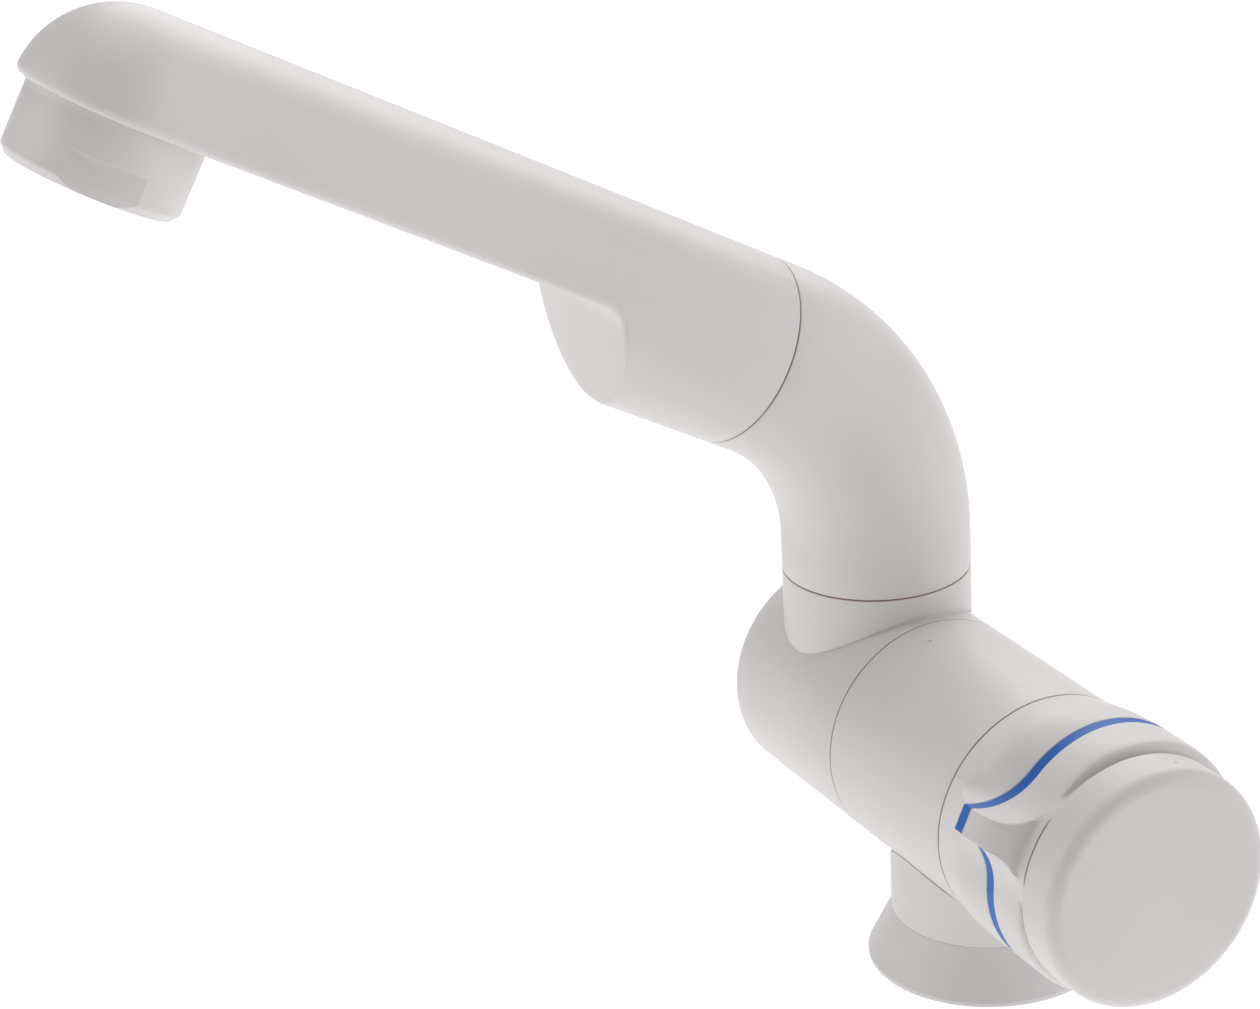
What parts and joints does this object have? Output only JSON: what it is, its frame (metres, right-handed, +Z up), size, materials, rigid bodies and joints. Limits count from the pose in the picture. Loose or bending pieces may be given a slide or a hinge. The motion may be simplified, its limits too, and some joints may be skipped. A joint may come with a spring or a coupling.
{
  "type": "cold water tap",
  "caption": "Folding worktop cold water tap with a bent swivel arm, half-round spout and winged side knob.",
  "frame": {"origin": "on the stem's axis, in the plane where the flange rests on the worktop", "axes": "+Z up, spout towards -Y, body and knob along +X"},
  "size_m": [0.1001, 0.1634, 0.2506],
  "materials": {
    "white_plastic": "satin, off-white",
    "blue_plastic": "smooth, blue",
    "grey_plastic": "plain grey moulding",
    "acetal": "slippery, natural white",
    "brass": "machined",
    "steel": "stainless",
    "ceramic": "lapped ceramic",
    "rubber": "soft black"
  },
  "bodies": {
    "root": {"valve_housing": "white_plastic", "deck_flange": "white_plastic", "deck_gasket": "rubber", "threaded_shank": "grey_plastic", "shank_o_ring": "rubber", "fixing_washer": "steel", "fixing_nut": "grey_plastic", "inlet_tail": "grey_plastic", "tail_o_ring": "rubber", "seat_seal": "rubber", "fixed_disc": "ceramic", "cartridge_body": "brass", "cartridge_nut": "brass", "fold_bolt": "brass", "fold_o_rings": "rubber"},
    "knob": {"knob_rear": "white_plastic", "blue_ring": "blue_plastic", "knob_front": "white_plastic", "cap_disc": "white_plastic", "knob_screw": "steel", "spindle": "brass", "spindle_clip": "steel", "spindle_o_ring": "rubber", "moving_disc": "ceramic"},
    "fold": {"fold_housing": "white_plastic", "rear_cap": "white_plastic", "fold_thrust_washer": "acetal", "stub_lock_ring": "acetal"},
    "elbow": {"elbow": "white_plastic", "lower_spigot": "acetal", "lower_swivel_rings": "rubber", "upper_spigot": "acetal", "upper_swivel_rings": "rubber"},
    "spout": {"spout": "white_plastic", "spout_lock_ring": "acetal", "outlet_cup": "white_plastic", "outlet_insert": "grey_plastic", "outlet_washer": "rubber"}
  },
  "joints": [
    {"name": "knob_turn", "type": "hinge", "parent": "root", "child": "knob", "pos_m": [0.03, 0, 0.0335], "axis": [1, 0, 0], "range_deg": [0, 90]},
    {"name": "housing_fold", "type": "hinge", "parent": "root", "child": "fold", "pos_m": [-0.034, 0, 0.0335], "axis": [1, 0, 0], "range_deg": [0, 90]},
    {"name": "elbow_swivel", "type": "hinge", "parent": "fold", "child": "elbow", "pos_m": [-0.034, 0, 0.058], "axis": [0, 0, 1], "range_deg": [-90, 90]},
    {"name": "spout_twist", "type": "hinge", "parent": "elbow", "child": "spout", "pos_m": [-0.034, -0.02483, 0.10201], "axis": [0, -0.866, 0.5], "range_deg": [-90, 90]}
  ]
}
